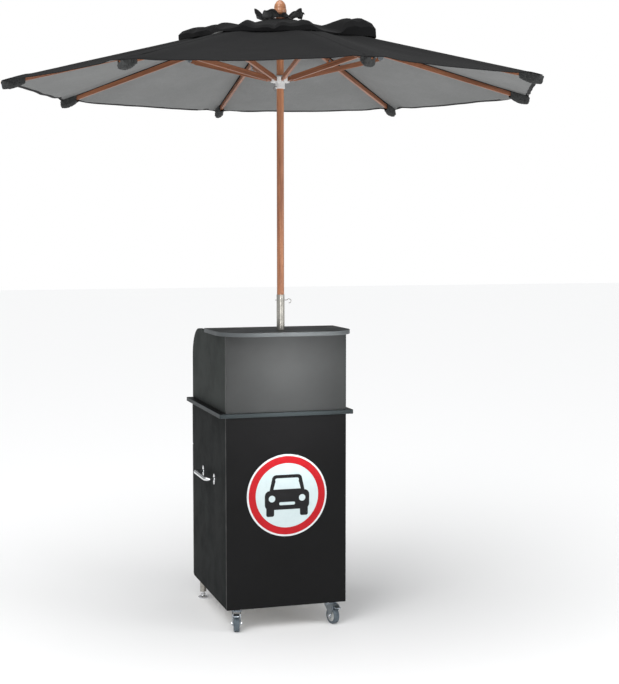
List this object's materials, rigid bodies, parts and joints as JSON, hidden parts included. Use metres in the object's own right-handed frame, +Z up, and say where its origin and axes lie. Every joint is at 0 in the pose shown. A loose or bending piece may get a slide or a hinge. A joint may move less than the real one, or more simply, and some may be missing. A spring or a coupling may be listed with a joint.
{
  "type": "valet podium cart",
  "caption": "Wheeled valet podium: laminated cabinet with drawer, hook-lined key cupboard, raised lectern and round front sign, with a folding wooden parasol standing in it.",
  "frame": {"origin": "on the floor, under the parasol pole's axis", "axes": "+Z up the pole; -Y is the front with the round sign, +Y the rear with the drawer and the door; +X is to the right seen from the front"},
  "size_m": [1.96, 1.96, 2.27],
  "materials": {
    "black_laminate": "satin melamine",
    "white_laminate": "satin melamine",
    "sign_film": "gloss",
    "chrome": "polished",
    "zinc": "zinc plated",
    "steel_tube": "polished",
    "runner_steel": "white powder coat",
    "grey_rubber": "satin",
    "black_plastic": "gloss",
    "white_plastic": "satin",
    "tag_plastic": "satin",
    "brass": "polished",
    "hardwood": "oiled",
    "turned_hardwood": "varnished",
    "black_cloth": "woven"
  },
  "bodies": {
    "cabinet": {"side_panel_left": "black_laminate", "side_panel_right": "black_laminate", "front_panel": "black_laminate", "upper_front": "black_laminate", "bottom_panel": "white_laminate", "shelf": "white_laminate", "socket_block": "white_laminate", "worktop": "black_laminate", "upper_sides": "black_laminate", "top_board": "black_laminate", "sign_disc": "sign_film", "side_handles": "chrome", "drawer_channels": "runner_steel", "hinge_plates": "zinc", "leg_mounts": "zinc"},
    "foot_left": {"foot_left": "chrome"},
    "foot_right": {"foot_right": "chrome"},
    "castor_left": {"castor_fork_left": "zinc"},
    "castor_right": {"castor_fork_right": "zinc"},
    "wheel_left": {"castor_wheel_left": "grey_rubber"},
    "wheel_right": {"castor_wheel_right": "grey_rubber"},
    "brake_left": {"brake_pedal_left": "zinc"},
    "brake_right": {"brake_pedal_right": "zinc"},
    "drawer": {"drawer_front": "black_laminate", "drawer_box": "white_laminate", "drawer_runners": "runner_steel", "drawer_lock_case": "chrome"},
    "drawer_key": {"drawer_key": "black_plastic"},
    "drawer_bolt": {"drawer_bolt": "zinc"},
    "key_tag": {"key_tag": "tag_plastic"},
    "door": {"door_panel": "black_laminate", "door_fittings": "chrome", "cup_hooks": "brass"},
    "door_lock_plug": {"door_lock_plug": "chrome"},
    "door_bolt": {"door_bolt": "zinc"},
    "hinge_links": {"hinge_links": "zinc"},
    "mast": {"mast_tube": "steel_tube", "pole": "hardwood", "hub": "hardwood", "finial": "turned_hardwood", "canopy": "black_cloth", "canopy_vent": "black_cloth"},
    "retaining_pin": {"retaining_pin": "steel_tube"},
    "runner": {"runner": "white_plastic"},
    "rib_1": {"rib_1": "hardwood"},
    "strut_1": {"strut_1": "hardwood"},
    "rib_2": {"rib_2": "hardwood"},
    "strut_2": {"strut_2": "hardwood"},
    "rib_3": {"rib_3": "hardwood"},
    "strut_3": {"strut_3": "hardwood"},
    "rib_4": {"rib_4": "hardwood"},
    "strut_4": {"strut_4": "hardwood"},
    "rib_5": {"rib_5": "hardwood"},
    "strut_5": {"strut_5": "hardwood"},
    "rib_6": {"rib_6": "hardwood"},
    "strut_6": {"strut_6": "hardwood"},
    "rib_7": {"rib_7": "hardwood"},
    "strut_7": {"strut_7": "hardwood"},
    "rib_8": {"rib_8": "hardwood"},
    "strut_8": {"strut_8": "hardwood"}
  },
  "joints": [
    {"name": "foot_left_level", "type": "slide", "parent": "cabinet", "child": "foot_left", "axis": [0, 0, 1], "range_m": [-0.012, 0]},
    {"name": "foot_right_level", "type": "slide", "parent": "cabinet", "child": "foot_right", "axis": [0, 0, 1], "range_m": [-0.012, 0]},
    {"name": "castor_left_swivel", "type": "hinge", "parent": "cabinet", "child": "castor_left", "pos_m": [-0.178, -0.036, 0.08], "axis": [0, 0, 1], "continuous": true},
    {"name": "wheel_left_roll", "type": "hinge", "parent": "castor_left", "child": "wheel_left", "pos_m": [-0.18318, -0.05532, 0.03], "axis": [0.9659, -0.2588, 0], "continuous": true},
    {"name": "brake_left_press", "type": "hinge", "parent": "castor_left", "child": "brake_left", "pos_m": [-0.18758, -0.07174, 0.065], "axis": [0.9659, -0.2588, 0], "range_deg": [0, 12]},
    {"name": "castor_right_swivel", "type": "hinge", "parent": "cabinet", "child": "castor_right", "pos_m": [0.178, -0.036, 0.08], "axis": [0, 0, 1], "continuous": true},
    {"name": "wheel_right_roll", "type": "hinge", "parent": "castor_right", "child": "wheel_right", "pos_m": [0.18318, -0.05532, 0.03], "axis": [0.9659, 0.2588, 0], "continuous": true},
    {"name": "brake_right_press", "type": "hinge", "parent": "castor_right", "child": "brake_right", "pos_m": [0.18758, -0.07174, 0.065], "axis": [0.9659, 0.2588, 0], "range_deg": [0, 12]},
    {"name": "drawer_slide", "type": "slide", "parent": "cabinet", "child": "drawer", "axis": [0, 1, 0], "range_m": [0, 0.3]},
    {"name": "drawer_key_turn", "type": "hinge", "parent": "drawer", "child": "drawer_key", "pos_m": [-0.031, 0.487, 0.756], "axis": [0, 1, 0], "range_deg": [0, 90]},
    {"name": "drawer_bolt_rise", "type": "slide", "parent": "drawer", "child": "drawer_bolt", "axis": [0, 0, 1], "range_m": [0, 0.01]},
    {"name": "key_tag_hang", "type": "hinge", "parent": "drawer_key", "child": "key_tag", "pos_m": [-0.031, 0.514, 0.733], "axis": [0, 1, 0], "range_deg": [-90.5, 0.5]},
    {"name": "door_hinge", "type": "hinge", "parent": "cabinet", "child": "door", "pos_m": [-0.2235, 0.472, 0.35], "axis": [0, 0, 1], "range_deg": [0, 110]},
    {"name": "hinge_links_turn", "type": "hinge", "parent": "cabinet", "child": "hinge_links", "pos_m": [-0.2235, 0.472, 0.35], "axis": [0, 0, 1], "range_deg": [0, 55.5]},
    {"name": "door_lock_turn", "type": "hinge", "parent": "door", "child": "door_lock_plug", "pos_m": [0.179, 0.487, 0.353], "axis": [0, 1, 0], "range_deg": [0, 90]},
    {"name": "door_bolt_throw", "type": "slide", "parent": "door", "child": "door_bolt", "axis": [1, 0, 0], "range_m": [0, 0.013]},
    {"name": "mast_turn", "type": "hinge", "parent": "cabinet", "child": "mast", "pos_m": [0, 0, 1], "axis": [0, 0, 1], "continuous": true},
    {"name": "retaining_pin_pull", "type": "slide", "parent": "mast", "child": "retaining_pin", "axis": [1, 0, 0], "range_m": [0, 0.045]},
    {"name": "rib_1_fold", "type": "hinge", "parent": "mast", "child": "rib_1", "pos_m": [0.045, 0, 2.18], "axis": [0, 1, 0], "range_deg": [0, 72.7], "deforming": ["canopy", "canopy_vent"]},
    {"name": "rib_2_fold", "type": "hinge", "parent": "mast", "child": "rib_2", "pos_m": [0.03182, 0.03182, 2.18], "axis": [-0.7071, 0.7071, 0], "range_deg": [0, 72.7]},
    {"name": "rib_3_fold", "type": "hinge", "parent": "mast", "child": "rib_3", "pos_m": [0, 0.045, 2.18], "axis": [-1, 0, 0], "range_deg": [0, 72.7]},
    {"name": "rib_4_fold", "type": "hinge", "parent": "mast", "child": "rib_4", "pos_m": [-0.03182, 0.03182, 2.18], "axis": [-0.7071, -0.7071, 0], "range_deg": [0, 72.7]},
    {"name": "rib_5_fold", "type": "hinge", "parent": "mast", "child": "rib_5", "pos_m": [-0.045, 0, 2.18], "axis": [0, -1, 0], "range_deg": [0, 72.7]},
    {"name": "rib_6_fold", "type": "hinge", "parent": "mast", "child": "rib_6", "pos_m": [-0.03182, -0.03182, 2.18], "axis": [0.7071, -0.7071, 0], "range_deg": [0, 72.7]},
    {"name": "rib_7_fold", "type": "hinge", "parent": "mast", "child": "rib_7", "pos_m": [0, -0.045, 2.18], "axis": [1, 0, 0], "range_deg": [0, 72.7]},
    {"name": "rib_8_fold", "type": "hinge", "parent": "mast", "child": "rib_8", "pos_m": [0.03182, -0.03182, 2.18], "axis": [0.7071, 0.7071, 0], "range_deg": [0, 72.7]},
    {"name": "strut_1_fold", "type": "hinge", "parent": "rib_1", "child": "strut_1", "pos_m": [0.37922, 0, 2.07417], "axis": [0, -1, 0], "range_deg": [0, 146.9]},
    {"name": "strut_2_fold", "type": "hinge", "parent": "rib_2", "child": "strut_2", "pos_m": [0.26815, 0.26815, 2.07417], "axis": [0.7071, -0.7071, 0], "range_deg": [0, 146.9]},
    {"name": "strut_3_fold", "type": "hinge", "parent": "rib_3", "child": "strut_3", "pos_m": [0, 0.37922, 2.07417], "axis": [1, 0, 0], "range_deg": [0, 146.9]},
    {"name": "strut_4_fold", "type": "hinge", "parent": "rib_4", "child": "strut_4", "pos_m": [-0.26815, 0.26815, 2.07417], "axis": [0.7071, 0.7071, 0], "range_deg": [0, 146.9]},
    {"name": "strut_5_fold", "type": "hinge", "parent": "rib_5", "child": "strut_5", "pos_m": [-0.37922, 0, 2.07417], "axis": [0, 1, 0], "range_deg": [0, 146.9]},
    {"name": "strut_6_fold", "type": "hinge", "parent": "rib_6", "child": "strut_6", "pos_m": [-0.26815, -0.26815, 2.07417], "axis": [-0.7071, 0.7071, 0], "range_deg": [0, 146.9]},
    {"name": "strut_7_fold", "type": "hinge", "parent": "rib_7", "child": "strut_7", "pos_m": [0, -0.37922, 2.07417], "axis": [-1, 0, 0], "range_deg": [0, 146.9]},
    {"name": "strut_8_fold", "type": "hinge", "parent": "rib_8", "child": "strut_8", "pos_m": [0.26815, -0.26815, 2.07417], "axis": [-0.7071, -0.7071, 0], "range_deg": [0, 146.9]},
    {"name": "runner_slide", "type": "slide", "parent": "mast", "child": "runner", "axis": [0, 0, -1], "range_m": [0, 0.519]}
  ],
  "couplings": [
    {"joint": "drawer_bolt_rise", "follows": "drawer_key_turn", "m_per_rad": 0.006366},
    {"joint": "key_tag_hang", "follows": "drawer_key_turn", "ratio": -1},
    {"joint": "hinge_links_turn", "follows": "door_hinge", "ratio": 0.5},
    {"joint": "door_bolt_throw", "follows": "door_lock_turn", "m_per_rad": 0.008276},
    {"joint": "rib_2_fold", "follows": "rib_1_fold", "ratio": 1},
    {"joint": "rib_3_fold", "follows": "rib_1_fold", "ratio": 1},
    {"joint": "rib_4_fold", "follows": "rib_1_fold", "ratio": 1},
    {"joint": "rib_5_fold", "follows": "rib_1_fold", "ratio": 1},
    {"joint": "rib_6_fold", "follows": "rib_1_fold", "ratio": 1},
    {"joint": "rib_7_fold", "follows": "rib_1_fold", "ratio": 1},
    {"joint": "rib_8_fold", "follows": "rib_1_fold", "ratio": 1},
    {"joint": "strut_1_fold", "follows": "rib_1_fold", "ratio": 2.0181},
    {"joint": "strut_2_fold", "follows": "rib_1_fold", "ratio": 2.0181},
    {"joint": "strut_3_fold", "follows": "rib_1_fold", "ratio": 2.0181},
    {"joint": "strut_4_fold", "follows": "rib_1_fold", "ratio": 2.0181},
    {"joint": "strut_5_fold", "follows": "rib_1_fold", "ratio": 2.0181},
    {"joint": "strut_6_fold", "follows": "rib_1_fold", "ratio": 2.0181},
    {"joint": "strut_7_fold", "follows": "rib_1_fold", "ratio": 2.0181},
    {"joint": "strut_8_fold", "follows": "rib_1_fold", "ratio": 2.0181},
    {"joint": "runner_slide", "follows": "rib_1_fold", "m_per_rad": 0.40825}
  ]
}
